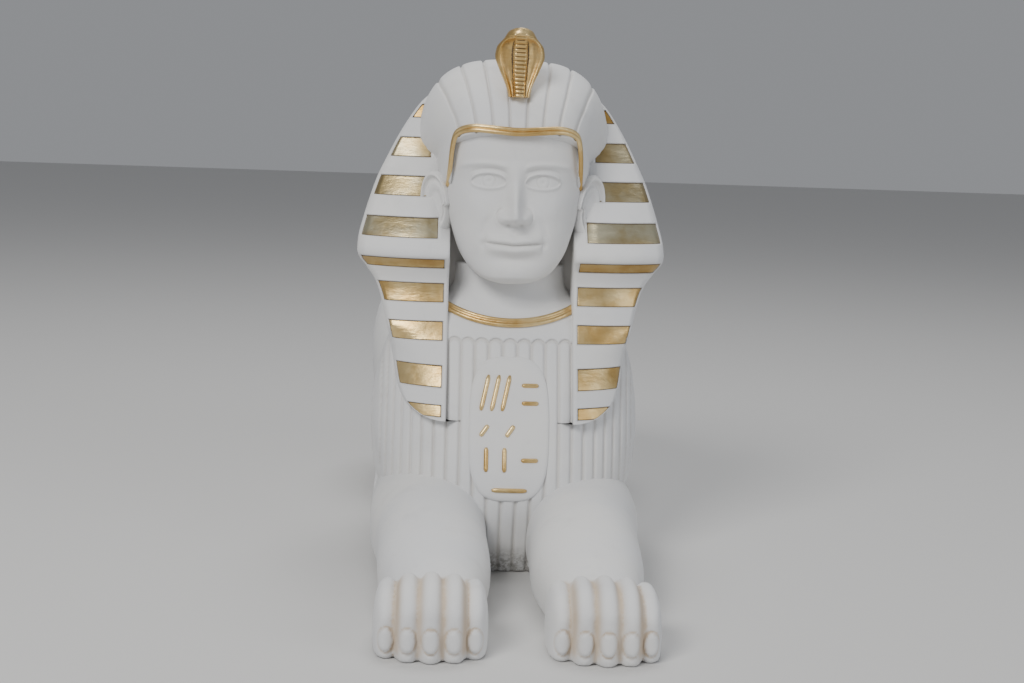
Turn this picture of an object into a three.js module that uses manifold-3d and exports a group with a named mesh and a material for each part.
// A couchant sphinx: a lion's body with a royal head in a striped head cloth, cast in one piece.
// The forelegs lie forward, the hind feet lie beside the belly and the tail curls round one haunch.
// Bands of the head cloth, the brow cord, the collar, the cobra and the marks on the breast are gilded.
// Millimetres, +Z up. The figure faces -Y. The origin is on the ground, under the middle of its bounding box.

import * as THREE from "three";
import { mergeVertices } from "three/addons/utils/BufferGeometryUtils.js";
import Module from "manifold-3d";

const wasm = await Module();
wasm.setup();

// ---- Driving dimensions ----------------------------------------------------------------------
const CROWN = 338; // top of the head cloth
const CHIN = 189.5; // underside of the chin
const BACK = 182; // highest point of the rump
const LENGTH = 584; // from the toes to the rump
const FRONT = -LENGTH / 2;
const REAR = LENGTH / 2;
const LAPPET_END = 100.5; // lower tip of the head cloth's lappets
const LAPPET_INNER = 42; // from the middle to the inner edge of a lappet
const LEG_MIDDLE = 48; // from the middle to a foreleg's own middle
const FLUTE = 9.6; // from one groove of the breast to the next

// ---- Curves and surfaces ---------------------------------------------------------------------

// A smooth function through [position, value] pairs that never overshoots between two of them.
function profile(...points) {
  const t = points.map((p) => p[0]);
  const v = points.map((p) => p[1]);
  const last = t.length - 1;
  const rise = t.slice(1).map((x, i) => (v[i + 1] - v[i]) / (x - t[i]));
  const slope = v.map((_, i) => {
    if (i === 0) return rise[0];
    if (i === last) return rise[last - 1];
    const [a, b] = [rise[i - 1], rise[i]];
    return a * b <= 0 ? 0 : (2 * a * b) / (a + b);
  });
  return (x) => {
    if (x <= t[0]) return v[0];
    if (x >= t[last]) return v[last];
    const i = t.findIndex((a, k) => k < last && x >= a && x <= t[k + 1]);
    const h = t[i + 1] - t[i];
    const s = (x - t[i]) / h;
    return (
      v[i] * (1 + 2 * s) * (1 - s) ** 2 +
      slope[i] * h * s * (1 - s) ** 2 +
      v[i + 1] * s * s * (3 - 2 * s) +
      slope[i + 1] * h * s * s * (s - 1)
    );
  };
}

const clamp = (x) => Math.min(1, Math.max(0, x));
const power = (x, e) => Math.sign(x) * Math.abs(x) ** e;
const smooth = (from, to, x) => {
  const t = clamp((x - from) / (to - from));
  return t * t * (3 - 2 * t);
};
const mound = (x, z, cx, cz, rx, rz) =>
  Math.exp(-(((x - cx) / rx) ** 2) - ((z - cz) / rz) ** 2);
// What is left of a superellipse's other half axis at a share x of this one.
const dome = (x, n) => (1 - Math.abs(clamp(Math.abs(x))) ** n) ** (1 / n);

// Evenly spread values, both ends included.
const spread = (from, to, steps) =>
  Array.from({ length: steps + 1 }, (_, i) => from + ((to - from) * i) / steps);

// A closed solid from a list of triangles and points, turned so that its faces point out.
function solid(points, faces) {
  const geometry = new THREE.BufferGeometry();
  geometry.setAttribute(
    "position",
    new THREE.Float32BufferAttribute(points.flat(), 3),
  );
  geometry.setIndex(faces.flat());
  const merged = mergeVertices(geometry, 1e-3);
  const index = merged.index.array;
  const kept = [];
  for (let i = 0; i < index.length; i += 3) {
    const [a, b, c] = [index[i], index[i + 1], index[i + 2]];
    if (a !== b && b !== c && a !== c) kept.push(a, b, c);
  }
  const at = (i) =>
    new THREE.Vector3().fromBufferAttribute(merged.attributes.position, i);
  let volume = 0;
  for (let i = 0; i < kept.length; i += 3)
    volume += at(kept[i]).dot(at(kept[i + 1]).cross(at(kept[i + 2])));
  if (volume < 0)
    for (let i = 0; i < kept.length; i += 3)
      [kept[i + 1], kept[i + 2]] = [kept[i + 2], kept[i + 1]];
  return new wasm.Manifold(
    new wasm.Mesh({
      numProp: 3,
      vertProperties: merged.attributes.position.array,
      triVerts: new Uint32Array(kept),
    }),
  );
}

// A closed solid swept through rings: point(v, u) for each v along it and each u round it.
// Each end is closed by a fan to the middle of its ring.
function loft(along, round, point) {
  const points = along.flatMap((v) => round.map((u) => point(v, u)));
  const faces = [];
  const n = round.length;
  const m = along.length;
  for (let r = 0; r < m - 1; r++)
    for (let c = 0; c < n; c++) {
      const [a, b] = [r * n + c, r * n + ((c + 1) % n)];
      faces.push([a, b, b + n], [a, b + n, a + n]);
    }
  for (const r of [0, m - 1]) {
    const ring = points.slice(r * n, r * n + n);
    const middle = [0, 1, 2].map(
      (k) => ring.reduce((sum, p) => sum + p[k], 0) / n,
    );
    const hub = points.push(middle) - 1;
    for (let c = 0; c < n; c++) {
      const [a, b] = [r * n + c, r * n + ((c + 1) % n)];
      faces.push(r === 0 ? [hub, b, a] : [hub, a, b]);
    }
  }
  return solid(points, faces);
}

// A closed slab over the cells of a grid that inside(row, column) keeps. Its front has every row,
// and its back only the coarse ones, so that a plain back takes few faces.
function slab(rows, coarse, columns, front, back, inside) {
  const n = columns.length;
  const points = [
    ...rows.flatMap((r) => columns.map((c) => front(r, c))),
    ...coarse.flatMap((r) => columns.map((c) => back(r, c))),
  ];
  const faces = [];
  const near = (z, c) => rows.indexOf(z) * n + c;
  const far = (z, c) => (rows.length + coarse.indexOf(z)) * n + c;
  const keep = (list, r, c) =>
    r >= 0 &&
    c >= 0 &&
    r < list.length - 1 &&
    c < n - 1 &&
    inside((list[r] + list[r + 1]) / 2, (columns[c] + columns[c + 1]) / 2);
  const cell = (corner, low, high, c) => [
    [corner(low, c), corner(high, c), corner(high, c + 1)],
    [corner(low, c), corner(high, c + 1), corner(low, c + 1)],
  ];
  for (let r = 0; r < rows.length - 1; r++)
    for (let c = 0; c < n - 1; c++)
      if (keep(rows, r, c)) faces.push(...cell(near, rows[r], rows[r + 1], c));
  for (let r = 0; r < coarse.length - 1; r++)
    for (let c = 0; c < n; c++) {
      const [low, high] = [coarse[r], coarse[r + 1]];
      if (keep(coarse, r, c)) {
        faces.push(...cell(far, low, high, c).map((f) => f.reverse()));
        const [a, b, d, e] = [near(low, c), near(low, c + 1), near(high, c), near(high, c + 1)];
        const [k, l, m, o] = [far(low, c), far(low, c + 1), far(high, c), far(high, c + 1)];
        if (!keep(coarse, r - 1, c)) faces.push([a, b, l], [a, l, k]);
        if (!keep(coarse, r + 1, c)) faces.push([e, d, m], [e, m, o]);
      }
      // A wall up the side, fanned from the back's corner to the front's closer rows.
      const [left, right] = [keep(coarse, r, c - 1), keep(coarse, r, c)];
      if (left === right) continue;
      const edge = rows.filter((z) => z >= low && z <= high).map((z) => near(z, c));
      const fan = edge.slice(1).map((e, i) => [edge[i], e, far(low, c)]);
      fan.push([edge.at(-1), far(high, c), far(low, c)]);
      faces.push(...(left ? fan : fan.map((f) => f.reverse())));
    }
  return solid(points, faces);
}

// A rounded block: a superellipsoid with three half axes, squarer as the exponent grows,
// cut off level where it would sink below the ground.
function boulder(middle, axes, exponent, turns, rings, ground = -Infinity) {
  const e = 2 / exponent;
  const sunk = Math.min(1, (middle[2] - ground) / axes[2]);
  return loft(
    spread(-Math.asin(sunk ** (1 / e)), Math.PI / 2, rings),
    spread(0, 2 * Math.PI, turns).slice(0, -1),
    (v, u) => [
      middle[0] + axes[0] * power(Math.cos(v), e) * power(Math.cos(u), e),
      middle[1] + axes[1] * power(Math.cos(v), e) * power(Math.sin(u), e),
      middle[2] + axes[2] * power(Math.sin(v), e),
    ],
  );
}

// A bar of round section, its radius given along it, that follows a path of points.
function rope(path, radius, steps, sides) {
  const curve = new THREE.CatmullRomCurve3(
    path.map((p) => new THREE.Vector3(...p)),
  );
  const frames = curve.computeFrenetFrames(steps, false);
  return loft(
    spread(0, steps, steps),
    spread(0, 2 * Math.PI, sides).slice(0, -1),
    (i, angle) => {
      const r = radius(i / steps);
      return curve
        .getPointAt(i / steps)
        .addScaledVector(frames.normals[i], r * Math.cos(angle))
        .addScaledVector(frames.binormals[i], r * Math.sin(angle))
        .toArray();
    },
  );
}

const mirrored = (make) => [-1, 1].map(make);

// ---- Trunk: one loft from the breast to the rump, flat on the ground --------------------------
const trunkTop = profile(
  [-40, 150], [0, 165], [40, 175], [72, 179], [110, 175], [150, 173],
  [190, 178], [222, BACK], [250, 173], [272, 146], [286, 104], [REAR, 66],
);
const trunkHalf = profile(
  [-40, 74], [0, 82], [40, 80], [80, 72], [125, 66], [160, 70],
  [200, 79], [240, 76], [266, 62], [284, 40], [REAR, 22],
);
function trunk() {
  const rows = [-40, 10, 60, 105, 150, 190, 222, 246, 264, 277, 286, REAR];
  return loft(rows, spread(0, 2 * Math.PI, 18).slice(0, -1), (y, a) => {
    const middle = trunkTop(y) * 0.45;
    const reach = Math.sin(a) > 0 ? trunkTop(y) - middle : middle;
    const flat = Math.sin(a) > 0 ? 2.3 : 4;
    return [
      trunkHalf(y) * power(Math.cos(a), 2 / flat),
      y,
      middle + reach * power(Math.sin(a), 2 / flat),
    ];
  });
}

// ---- Breast and neck: rings stacked upwards, fluted in front ----------------------------------
const BREAST_AXIS = -20; // the rings' widest point, along Y
const BREAST_SHAPE = 2.4;
const BREAST_HALF = 92; // greatest half width
const FLUTES_TOP = 151;
const breastHalf = profile(
  [0, 78], [40, 84], [60, 88], [88, BREAST_HALF], [112, 90.5], [130, 88],
  [143, 84], [158, 77], [166, 68], [173, 54], [180, 43], [188, 39], [205, 38],
);
const breastFront = profile(
  [0, -98], [22, -107], [50, -112], [95, -99], [120, -88], [140, -77],
  [150, -72], [165, -64], [175, -57], [188, -52], [205, -50],
);
// The breast's front surface at a place across and up.
function breastAt(x, z) {
  const reach = BREAST_AXIS - breastFront(z);
  return BREAST_AXIS - reach * dome(x / breastHalf(z), BREAST_SHAPE);
}
const across = (s) => BREAST_HALF * Math.sin(s / BREAST_HALF);

function breast() {
  const grooves = spread(-7.5, 7.5, 30).map((k) => across(k * FLUTE));
  const fluted = grooves.map((x) => {
    const s = power(x / BREAST_HALF, BREAST_SHAPE / 2);
    return Math.asin(s);
  });
  const rest = spread(fluted.at(-1), 2 * Math.PI + fluted[0], 6).slice(1, -1);
  const columns = [...fluted, ...rest];
  const depth = 1.9;
  const rows = [0, 52, 95, 130, FLUTES_TOP, FLUTES_TOP + 1.5, 166, 176, 192];
  return loft(rows, columns, (z, a) => {
    const k = fluted.indexOf(a);
    const sunk = k >= 0 && k % 2 === 0 && z <= FLUTES_TOP && z > 0 ? depth : 0;
    const e = 2 / BREAST_SHAPE;
    const reach = Math.cos(a) > 0 ? BREAST_AXIS - breastFront(z) : 50;
    return [
      breastHalf(z) * power(Math.sin(a), e) * (1 - (sunk / 90) * Math.abs(Math.sin(a))),
      BREAST_AXIS - (reach - sunk) * power(Math.cos(a), e),
      z,
    ];
  });
}

// ---- Name panel on the breast, with rows of plain strokes -------------------------------------
const PANEL = { half: 26.5, low: 51, high: 141.5, proud: 1.6, shape: 3.2 };
const panelMiddle = (PANEL.low + PANEL.high) / 2;
const panelReach = (PANEL.high - PANEL.low) / 2;
function panel() {
  const rings = [0.5, 0.94, 1];
  const turns = spread(0, 2 * Math.PI, 20).slice(0, -1);
  const place = (r, a) => [
    PANEL.half * r * power(Math.cos(a), 2 / PANEL.shape),
    panelMiddle + panelReach * r * power(Math.sin(a), 2 / PANEL.shape),
  ];
  const rows = [...rings.map((r) => [r, r < 0.99 ? PANEL.proud : 0.2]), [1, -4]];
  return loft(spread(0, rows.length - 1, rows.length - 1), turns, (i, a) => {
    const [x, z] = place(rows[i][0], a);
    return [x, breastAt(x, z) - rows[i][1], z];
  });
}

// A raised stroke from one place on the panel to another.
function stroke(x0, z0, x1, z1, width = 1.5) {
  const steps = 1;
  const path = spread(0, 1, steps).map((t) => {
    const [x, z] = [x0 + (x1 - x0) * t, z0 + (z1 - z0) * t];
    return [x, breastAt(x, z) - PANEL.proud, z];
  });
  return rope(path, () => width, steps, 4);
}
const STROKES = [
  ...spread(0, 2, 2).map((k) => [-19 + 7 * k, 108, -14 + 7 * k, 130]),
  ...spread(0, 1, 1).map((k) => [8, 113 + 11 * k, 19, 113 + 11 * k]),
  ...spread(0, 2, 2).map((k) => [-19 + 17 * k, 92, -14 + 17 * k, 99]),
  ...spread(0, 1, 1).map((k) => [-15 + 12 * k, 70, -15 + 12 * k, 85]),
  [8, 77.5, 19, 77.5],
  [-11, 58.5, 12, 58.5],
];

// ---- Shoulders, forelegs and their paws --------------------------------------------------------
const shoulder = (side) =>
  boulder([64 * side, -6, 86], [29.5, 60, 64], 2.3, 12, 6);

const legMiddle = profile([-262, LEG_MIDDLE], [-235, 47], [-180, 47.5], [-110, 50], [-60, 52.5], [40, 52]);
const legHalf = profile(
  [-262, 27], [-240, 26], [-222, 28.5], [-175, 35], [-132, 35.5], [-77, 38.5], [0, 38], [40, 18],
);
const legTop = profile(
  [-262, 34], [-240, 36], [-215, 44], [-175, 54], [-115, 62], [-60, 66], [0, 64], [40, 24],
);
function foreleg(side) {
  const rows = [-262, -242, -222, -195, -155, -110, -70, 0, 40];
  return loft(rows, spread(0, 2 * Math.PI, 14).slice(0, -1), (y, a) => {
    const middle = legTop(y) * 0.4;
    const up = Math.sin(a) > 0;
    return [
      side * legMiddle(y) + legHalf(y) * power(Math.cos(a), up ? 0.9 : 0.55),
      y,
      middle + (up ? legTop(y) - middle : middle) * power(Math.sin(a), up ? 0.9 : 0.55),
    ];
  });
}

// Each toe is a tall rounded lobe; the two outermost stand back a little.
const FORE_TOES = [
  { place: -25, back: 9, high: 37, half: 8 },
  { place: -13, back: 2, high: 42, half: 8.8 },
  { place: 0, back: 0, high: 43.5, half: 9 },
  { place: 13, back: 2, high: 42, half: 8.8 },
  { place: 25, back: 9, high: 37, half: 8 },
];
const HIND_TOES = [
  { place: -14, back: 5, high: 23, half: 6 },
  { place: -5, back: 0, high: 27, half: 6.4 },
  { place: 5, back: 0, high: 27, half: 6.4 },
  { place: 14, back: 5, high: 23, half: 6 },
];
function paw(middle, front, long, toes, turns, rings) {
  return toes.map(({ place, back, high, half }) =>
    boulder(
      [middle + place, front + back + long, high * 0.3],
      [half, long, high * 0.7],
      2.5,
      turns,
      rings,
      0,
    ),
  );
}

// ---- Haunches, hind feet and tail --------------------------------------------------------------
function haunch(side) {
  return loft(
    spread(-Math.PI / 2, Math.PI / 2, 6),
    spread(0, 2 * Math.PI, 14).slice(0, -1),
    (v, u) => {
      const z = 98 + 82 * Math.cos(v) * Math.sin(u);
      const lean = 0.07 * (z - 98); // the thigh is fuller above
      return [
        side * (52 + 47 * power(Math.sin(v), 0.9) + lean * Math.max(0, Math.sin(v))),
        184 + 92 * Math.cos(v) * Math.cos(u),
        Math.max(z, 6),
      ];
    },
  );
}

const footHalf = profile([70, 19], [110, 19], [170, 20], [230, 20], [252, 14], [262, 4]);
const footTop = profile([70, 26], [100, 31], [150, 38], [215, 44], [252, 36], [262, 24]);
function hindFoot(side) {
  const rows = [74, 110, 190, 235, 254, 262];
  return loft(rows, spread(0, 2 * Math.PI, 10).slice(0, -1), (y, a) => [
    side * 74 + footHalf(y) * power(Math.cos(a), 0.7),
    y,
    (footTop(y) / 2) * (1 + power(Math.sin(a), 0.7)),
  ]);
}

function tail() {
  const path = [
    [6, 272, 92], [22, 281, 52], [50, 276, 18], [78, 256, 10],
    [95, 222, 9], [97, 188, 12], [98, 164, 34], [98, 152, 62],
  ];
  const thick = profile([0, 10], [0.3, 8.5], [0.6, 7], [0.78, 6.5], [0.9, 9], [1, 2.5]);
  return rope(path, thick, 14, 6);
}

// ---- Head: an egg closed under the jaw, with the features on its front --------------------------
const HEAD_SHAPE = 2.5;
const headHalf = profile(
  [CHIN, 9], [191.5, 17], [195, 24], [202, 31], [211, 36.5], [222, 40.5],
  [236, 45], [250, 47.5], [268, 48.5], [300, 47],
);
const headFront = profile(
  [CHIN, -69], [191.5, -74], [195, -77], [202, -77.5], [212, -78], [222, -78.5], [232, -77.5],
  [245, -76.5], [256, -77.5], [268, -80.5], [288, -80], [300, -74],
);
const headMiddle = profile(
  [CHIN, -62], [195, -56], [205, -50], [220, -42], [235, -34], [250, -30], [300, -28],
);
const headBack = profile([CHIN, 5], [195, 11], [205, 19], [215, 30], [225, 45], [300, 50]);

const EYE = { across: 18, up: 257.5, half: 11.5, lid: 5.4, under: 3.8 };
const NOSE_PROUD = 13.5;
const MOUTH = { up: 216.5, half: 19 };

// How far the features stand out of the egg in front, at a place across and up.
function features(x, z) {
  const a = Math.abs(x);
  const almond = dome((a - EYE.across) / EYE.half, 2);
  const lidTop = EYE.up + EYE.lid * almond;
  const lidLow = EYE.up - EYE.under * almond;
  const socket = -5.2 * mound(a, z, EYE.across - 1, EYE.up + 1.5, 12, 9.5);
  const ball = 4.4 * mound(a, z, EYE.across, EYE.up, 10, 7);
  const lids =
    a > EYE.across - EYE.half && a < EYE.across + EYE.half
      ? Math.exp(-(((z - lidTop) / 1.3) ** 2)) + 0.7 * Math.exp(-(((z - lidLow) / 1.2) ** 2))
      : 0;
  const browLine = 266.5 + 5 * dome((a - 21) / 19, 2) - 2;
  const brow = 1.3 * Math.exp(-(((z - browLine) / 2.2) ** 2)) * smooth(4, 9, a) * smooth(40, 34, a);
  const along = profile([228, 0], [229.5, 2], [231.5, 9.5], [234.5, 13.2], [237, NOSE_PROUD],
    [242, 11.6], [250, 7.6], [258, 4], [266, 1.2], [272, 0]);
  const wide = profile([229, 6.5], [236, 5.6], [243, 4.4], [255, 4.6], [266, 6.5]);
  const bridge = along(z) * Math.exp(-((a / wide(z)) ** 2.2));
  const wings = 4.8 * mound(a, z, 8, 234, 3.6, 4);
  const lipLine = MOUTH.up + 0.9 * (a / MOUTH.half) ** 2 - 0.5 * mound(a, 0, 0, 0, 5, 1);
  const lipReach = dome(a / MOUTH.half, 1.7);
  const upperLip = 3.6 * lipReach * mound(0, z, 0, lipLine + 2.8, 1, 3.2);
  const lowerLip = 4 * lipReach * mound(0, z, 0, lipLine - 3.4, 1, 3.3);
  const parting = -2 * smooth(MOUTH.half + 2, MOUTH.half - 4, a) * Math.exp(-(((z - lipLine) / 1.1) ** 2));
  const fold = -1.6 * mound(a, z, 0, 206.3, 13, 3.4);
  const chin = 2.8 * mound(a, z, 0, 198, 12, 7.5);
  const cheek = 2.6 * mound(a, z, 27, 243, 12, 12);
  return socket + ball + lids + brow + Math.max(bridge, 0) + wings + upperLip + lowerLip +
    parting + fold + chin + cheek;
}

function head() {
  const fine = [-44, -36, -29, -24, -20, -15, -10.5, -7, -3.5, 0];
  const places = [...fine, ...fine.slice(0, -1).reverse().map((x) => -x)];
  const front = places.map((x) => Math.asin(power(x / 48.5, HEAD_SHAPE / 2)));
  const rest = spread(front.at(-1), 2 * Math.PI + front[0], 4).slice(1, -1);
  const rows = [
    CHIN, 191.5, 195, 199, 203, 206.5, 210, 213.5, 216.5, 219.5, 224, 229, 231.5, 235.5, 240,
    245, 250, 254, 257.5, 261, 264, 267, 271, 292,
  ];
  const e = 2 / HEAD_SHAPE;
  return loft(rows, [...front, ...rest], (z, a) => {
    const x = headHalf(z) * power(Math.sin(a), e);
    const forward = Math.cos(a) > 0;
    const reach = forward ? headMiddle(z) - headFront(z) : headBack(z);
    const y = headMiddle(z) - reach * power(Math.cos(a), e);
    return [x, y - (forward ? features(x, z) * smooth(0, 0.35, Math.cos(a)) : 0), z];
  });
}

// An ear: a shallow dish with a raised rim, turned to face forwards.
function ear(side) {
  const rings = [0.4, 0.68, 0.86, 1];
  const height = [0.5, 1.2, 4.2, 1.2];
  const rows = [...rings.map((r, i) => [r, height[i]]), [1, -5]];
  const turn = THREE.MathUtils.degToRad(33);
  const round = spread(0, 2 * Math.PI, 12).slice(0, -1);
  return loft(spread(0, rows.length - 1, rows.length - 1), round, (i, a) => {
    const [r, proud] = rows[i];
    const up = 21.5 * Math.sin(a) * r;
    const out = (up > 0 ? 11 : 8.5) * Math.cos(a) * r + 0.12 * up;
    return [
      side * (51.5 + out * Math.cos(turn) + proud * Math.sin(turn)),
      -47 + out * Math.sin(turn) - proud * Math.cos(turn),
      240.5 + up,
    ];
  });
}

// ---- Head cloth: a fluted cap over the skull ----------------------------------------------------
const CAP = { y: -15, z: 262, shape: 3, fold: 14 };
const CAP_GROOVES = 8;
// The cap's reach from its middle at an angle round it, from the brow over the crown to the nape.
const capReach = profile(
  [-40, 30], [-15, 50], [-8, 59], [0, 64], [10, 69], [22, 73.8], [45, 76.5], [65, 77],
  [90, CROWN - CAP.z], [120, 74.5], [150, 69], [180, 64], [215, 62], [250, 50], [320, 30],
);
// Half the width of the fluted part at the same angle.
const capFluted = profile(
  [-40, 38], [22, 38], [50, 46], [75, 52], [110, 53], [160, 48], [200, 40], [320, 38],
);

const BROW_ANGLE = 22.5;
function cap() {
  const last = (CAP_GROOVES - 1) / 2;
  const fluteColumns = spread(-last, last, 4 * last).map((k, i) => [k, i % 2 ? 0 : 1.8]);
  const edge = [1.1, 1.27, 1.36].map((s) => [s, 0]);
  const columns = [
    ...[...edge].reverse().map(([s]) => [-s * last, 0]),
    ...fluteColumns,
    ...edge.map(([s]) => [s * last, 0]),
  ];
  const angles = [-22, -4, 21, BROW_ANGLE, 35, 52, 70, 88, 108, 132, 165, 200, 250, 300];
  return loft(
    columns.map((_, i) => i),
    angles,
    (i, angle) => {
      const [k, sunk] = columns[i];
      const wide = capFluted(angle);
      const x = (wide * k) / last;
      const opening = angle < BROW_ANGLE - 0.1 && Math.abs(x) < 41.5 ? 0.78 : 1;
      const below = angle < BROW_ANGLE || angle > 230;
      const groove = below ? 0 : sunk * smooth(125, 100, angle);
      const reach = capReach(angle) * opening * dome(x / (wide + CAP.fold), CAP.shape) - groove;
      const t = THREE.MathUtils.degToRad(angle);
      return [x, CAP.y - reach * Math.cos(t), CAP.z + reach * Math.sin(t)];
    },
  );
}

// ---- Head cloth: the wings beside the face and the lappets on the breast ------------------------
const HOOD_TOP = 318; // where the wings run into the cap
const hoodHalf = profile(
  [LAPPET_END, 45], [101.5, 53], [104.5, 62], [112, 71], [122, 75.5], [147, 80.5], [160, 83.5],
  [175, 87.5], [187, 92], [197, 99], [203, 103.4], [208, 104.6], [215, 104.3], [230, 101],
  [243, 97.3], [257, 92.5], [270, 86.5], [284, 79.5], [296, 72.5], [308, 64], [HOOD_TOP, 53],
);
// The middle of the wings' face; at RIDGE it stands furthest forward, and the lappets start under it.
const RIDGE = 207;
const hoodFace = profile(
  [LAPPET_END, -92], [120, -84], [150, -71], [170, -62], [188, -58], [198, -61], [RIDGE, -69],
  [215, -65], [240, -48], [270, -32], [300, -20], [HOOD_TOP, -15],
);
const BANDS = [
  [110.5, LAPPET_END + 2.2], [135, 121], [162.5, 150], [187.5, 174.5], [204.5, 197.5],
  [231, 217.5], [258, 244.5], [284, 270.5], [306.5, 297],
];
const BAND_DEPTH = 1.5;
const HOOD_BASE = 168; // where the cloth behind the head ends, inside the back
const hoodBehind = profile(
  [HOOD_BASE, 62], [200, 66], [230, 65], [262, 61], [290, 51], [306, 30], [HOOD_TOP, 0],
);
const bandInner = (z) => (z > 262 ? 56 : z > 240 ? 58 : z > 210 ? 50 : LAPPET_INNER + 3);

const inBand = (z) => BANDS.some(([high, low]) => z < high && z > low);
function hoodPlace(z, u) {
  const inner = Math.min(LAPPET_INNER, 0.7 * hoodHalf(z));
  const a = Math.abs(u);
  const x = a <= 1 ? inner * a : inner + (hoodHalf(z) - inner) * (a - 1);
  return Math.sign(u) * x;
}
// The cloth's front at a place, before its edges are rounded and its bands sunk.
function hoodFront(x, z) {
  const a = Math.abs(x);
  const outer = a > 58 ? 17 * ((a - 58) / 46) ** 2 : 0;
  const inner = a < 58 ? 14 * ((58 - a) / 16) ** 2 * smooth(RIDGE, 228, z) : 0;
  const loose = hoodFace(z) + outer + inner;
  const lying = breastAt(x, z) - 7;
  return z < 160 ? THREE.MathUtils.lerp(lying, loose, smooth(130, 160, z)) : loose;
}
function hood() {
  const step = 0.9;
  const edges = BANDS.flatMap(([high, low]) => [low - step, low + step, high - step, high + step]);
  const coarse = [LAPPET_END, 106, 122, 143, HOOD_BASE, 190, RIDGE, 214, 238, 264.5, 290, 308, HOOD_TOP];
  const rows = [...new Set([...edges, ...coarse])].sort((p, q) => p - q);
  const outer = [1, 1.07, 1.5, 1.9, 2];
  const columns = [...[...outer].reverse().map((u) => -u), -0.96, 0.96, ...outer];
  const rounding = (u) => {
    const a = Math.abs(u);
    if (a > 1.9) return dome((a - 1.9) / 0.1, 2);
    return 1;
  };
  const front = (z, u) => {
    const x = hoodPlace(z, u);
    const a = Math.abs(u);
    if (a < 1) return [x, -46, z];
    const panelled = inBand(z) && a >= 1.06 && a < 1.93 && Math.abs(x) > bandInner(z) - 0.5;
    const rim = hoodFront(hoodPlace(z, 2), z) + 8;
    const face = hoodFront(x, z) + (panelled ? BAND_DEPTH : 0);
    return [x, THREE.MathUtils.lerp(rim, face, rounding(u)), z];
  };
  const back = (z, u) => {
    const x = hoodPlace(z, u);
    const rim = hoodFront(hoodPlace(z, 2), z) + 8;
    const bag = THREE.MathUtils.lerp(rim + 8, hoodBehind(z), dome(x / hoodHalf(z), 1.9));
    const lappet = hoodFront(x, z) + 16;
    const behind = Math.abs(u) < 1 ? bag : THREE.MathUtils.lerp(lappet, bag, smooth(160, 205, z));
    return [x, THREE.MathUtils.lerp(rim, behind, rounding(u)), z];
  };
  const inside = (z, u) => Math.abs(u) > 1 || z > HOOD_BASE;
  return slab(rows, coarse, columns, front, back, inside);
}

// The cloth's gathered end, lying on the back.
function pigtail() {
  const half = profile([52, 34], [80, 26], [110, 15], [150, 10], [166, 6]);
  const up = profile([52, 40], [80, 17], [110, 9], [150, 7], [166, 3]);
  const rows = spread(52, 166, 6);
  return loft(rows, spread(0, 2 * Math.PI, 10).slice(0, -1), (y, a) => [
    half(y) * Math.cos(a),
    y,
    trunkTop(y) - 2 + up(y) * Math.sin(a),
  ]);
}

// ---- Gilded cords, and the cobra on the brow ----------------------------------------------------
function browCord() {
  const reach = (x, angle) => capReach(angle) * dome(x / (38 + CAP.fold), CAP.shape);
  const point = (x, angle) => {
    const t = THREE.MathUtils.degToRad(angle);
    const r = reach(x, angle) + 0.6;
    return [x, CAP.y - r * Math.cos(t), CAP.z + r * Math.sin(t)];
  };
  const half = [[44.5, -14], [43.5, 4], [42, 17], [40.5, 25], [37, 26.3], [27, 24.6], [14, 23], [0, 22.4]];
  const left = half.map(([x, a]) => point(-x, a));
  const right = half.slice(0, -1).map(([x, a]) => point(x, a));
  const path = [...left, ...right.reverse()];
  return rope(path, () => 2.5, 18, 4);
}

function collar() {
  const path = spread(-46, 46, 8).map((x) => {
    const z = 163 + 8.5 * (x / 42) ** 2;
    return [x, breastAt(x, z) - 0.6, z];
  });
  return rope(path, () => 2.6, 8, 5);
}

const COBRA = { low: 313, high: 357.5, y: -71 };
const cobraHalf = profile(
  [0, 6.8], [0.14, 8.4], [0.4, 13.4], [0.6, 16.3], [0.72, 15.4], [0.86, 10.6], [0.96, 7.6], [1, 4],
);
function cobra() {
  const rows = [0, 0.14, 0.3, 0.45, 0.6, 0.72, 0.82, 0.92, 1];
  const hoodPlate = loft(rows, spread(0, 2 * Math.PI, 12).slice(0, -1), (t, a) => {
    const thick = 5.2 + 2.2 * smooth(0.7, 0.9, t);
    const belly = 2.4 * mound(Math.cos(a), 0, 0, 0, 0.45, 1) * (Math.sin(a) < 0 ? 1 : 0);
    return [
      cobraHalf(t) * Math.cos(a),
      COBRA.y - 3 + 4 * Math.sin(Math.PI * t) + thick * power(Math.sin(a), 0.8) - belly,
      COBRA.low + (COBRA.high - COBRA.low) * t,
    ];
  });
  const crawl = [[0, -70, 322], [0, -54, 331], [0, -34, 337.5], [0, -8, 339], [0, 18, 334]];
  return [hoodPlate, rope(crawl, () => 5, 5, 5)];
}

// ---- The statue ---------------------------------------------------------------------------------
const pieces = [
  trunk(),
  breast(),
  panel(),
  ...STROKES.map((s) => stroke(...s)),
  ...mirrored(shoulder),
  ...mirrored(foreleg),
  ...mirrored((side) => paw((LEG_MIDDLE + 1.5) * side, FRONT, 29, FORE_TOES, 8, 6)).flat(),
  ...mirrored(haunch),
  ...mirrored(hindFoot),
  ...mirrored((side) => paw(74 * side, 60, 20, HIND_TOES, 6, 4)).flat(),
  tail(),
  head(),
  ...mirrored(ear),
  cap(),
  hood(),
  pigtail(),
  browCord(),
  collar(),
  ...cobra(),
];
const statue = pieces.reduce((all, piece) => all.add(piece));

// ---- Mending the joins --------------------------------------------------------------------------
// Where two surfaces cross at a low angle, a join leaves short edges and needle-thin faces. A short
// edge is drawn together to one of its ends, and a thin face is given the other diagonal of the
// quadrilateral that it makes with the face across its long edge. Neither turns a face over.
const SHORT = 0.38; // edges below this are drawn together
const THIN = 0.04; // faces lower than this are turned

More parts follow.
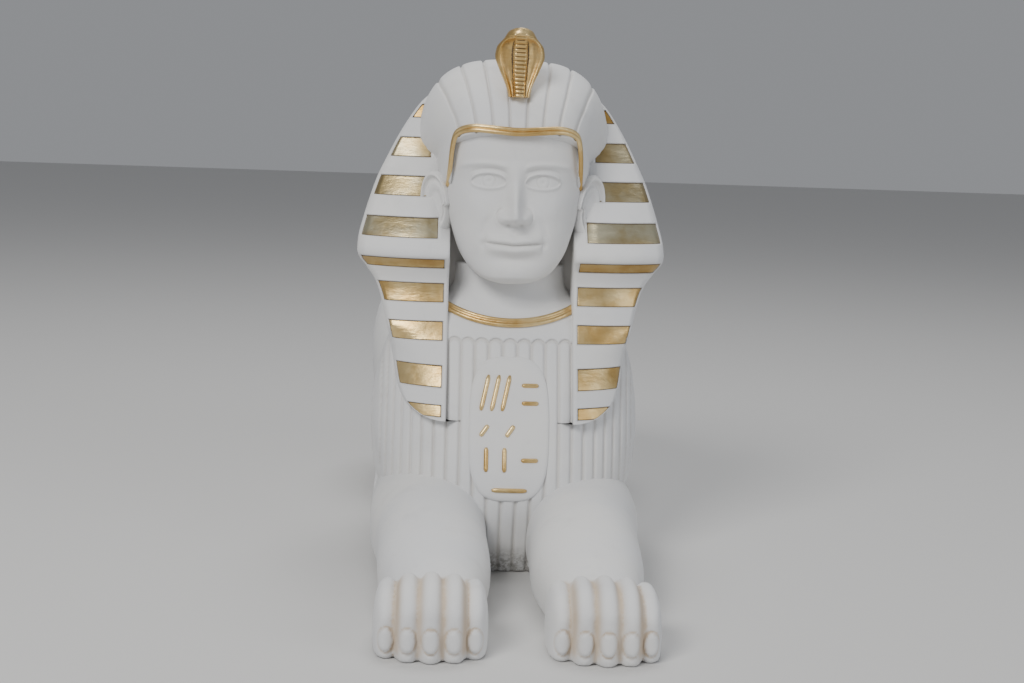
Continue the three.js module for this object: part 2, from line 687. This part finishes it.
function mended(points, faces) {
  const fan = points.map(() => new Set());
  faces.forEach((face, f) => face.forEach((p) => fan[p].add(f)));
  const cross = (a, b, c) => {
    const u = new THREE.Vector3().subVectors(points[b], points[a]);
    return u.cross(new THREE.Vector3().subVectors(points[c], points[a]));
  };
  const sides = ([a, b, c]) => [[a, b], [b, c], [c, a]];
  const length = ([a, b]) => points[a].distanceTo(points[b]);
  const longest = (face) => Math.max(...sides(face).map(length));
  const height = (face) => cross(...face).length() / longest(face);
  const near = (p) => new Set([...fan[p]].flatMap((f) => faces[f]).filter((q) => q !== p));
  const sharing = (a, b) => [...fan[a]].filter((f) => fan[b].has(f));
  const turned = (before, after) => {
    const [old, now] = [cross(...before), cross(...after)];
    return old.length() > 1e-3 && old.dot(now) < 0.6 * old.length() * now.length();
  };

  function drawTogether(from, to) {
    const gone = sharing(from, to);
    const around = near(to);
    const common = [...near(from)].filter((p) => around.has(p));
    if (gone.length !== 2 || common.length !== 2) return false;
    const kept = [...fan[from]].filter((f) => !gone.includes(f));
    const moved = kept.map((f) => faces[f].map((p) => (p === from ? to : p)));
    const spoils = (face, i) =>
      turned(faces[kept[i]], face) || height(face) < Math.min(THIN, height(faces[kept[i]]));
    if (moved.some(spoils)) return false;
    gone.forEach((f) => {
      faces[f].forEach((p) => fan[p].delete(f));
      faces[f] = null;
    });
    kept.forEach((f, i) => {
      faces[f] = moved[i];
      fan[to].add(f);
    });
    fan[from].clear();
    return true;
  }

  function turnDiagonal(f) {
    const [a, b] = sides(faces[f]).sort((s, t) => length(t) - length(s))[0];
    const apex = faces[f].find((p) => p !== a && p !== b);
    const other = sharing(a, b).find((g) => g !== f);
    const far = faces[other].find((p) => p !== a && p !== b);
    if (near(apex).has(far)) return false;
    const halves = [[a, far, apex], [far, b, apex]];
    const worst = Math.min(...halves.map(height));
    if (worst <= height(faces[f]) || halves.some((half) => turned(faces[other], half))) return false;
    fan[b].delete(f);
    fan[a].delete(other);
    fan[far].add(f);
    fan[apex].add(other);
    [faces[f], faces[other]] = halves;
    return true;
  }

  for (let pass = 0; pass < 12; pass++) {
    let changes = 0;
    for (let f = 0; f < faces.length; f++) {
      const shortest = faces[f] && sides(faces[f]).sort((s, t) => length(s) - length(t))[0];
      if (!shortest || length(shortest) > SHORT) continue;
      const [a, b] = shortest;
      if (drawTogether(a, b) || drawTogether(b, a)) changes++;
    }
    for (let f = 0; f < faces.length; f++)
      if (faces[f] && height(faces[f]) < THIN && turnDiagonal(f)) changes++;
    if (!changes) break;
  }
  return faces.filter(Boolean);
}

// The joined solid as a three.js geometry, its joins mended.
function geometryOf(whole) {
  const { numVert, numProp, vertProperties, triVerts } = whole.getMesh();
  const points = Array.from({ length: numVert }, (_, i) =>
    new THREE.Vector3().fromArray(vertProperties, i * numProp),
  );
  const faces = Array.from({ length: triVerts.length / 3 }, (_, i) => [
    ...triVerts.subarray(3 * i, 3 * i + 3),
  ]);
  const corners = mended(points, faces).flat();
  const geometry = new THREE.BufferGeometry();
  geometry.setFromPoints(corners.map((p) => points[p]));
  geometry.computeVertexNormals();
  return geometry;
}

const plaster = new THREE.MeshStandardMaterial({
  color: 0xe9e7e4,
  roughness: 0.75,
  metalness: 0,
});
const sphinx = new THREE.Mesh(geometryOf(statue), plaster);
sphinx.name = "sphinx_statue";

const group = new THREE.Group();
group.add(sphinx);
export default group;
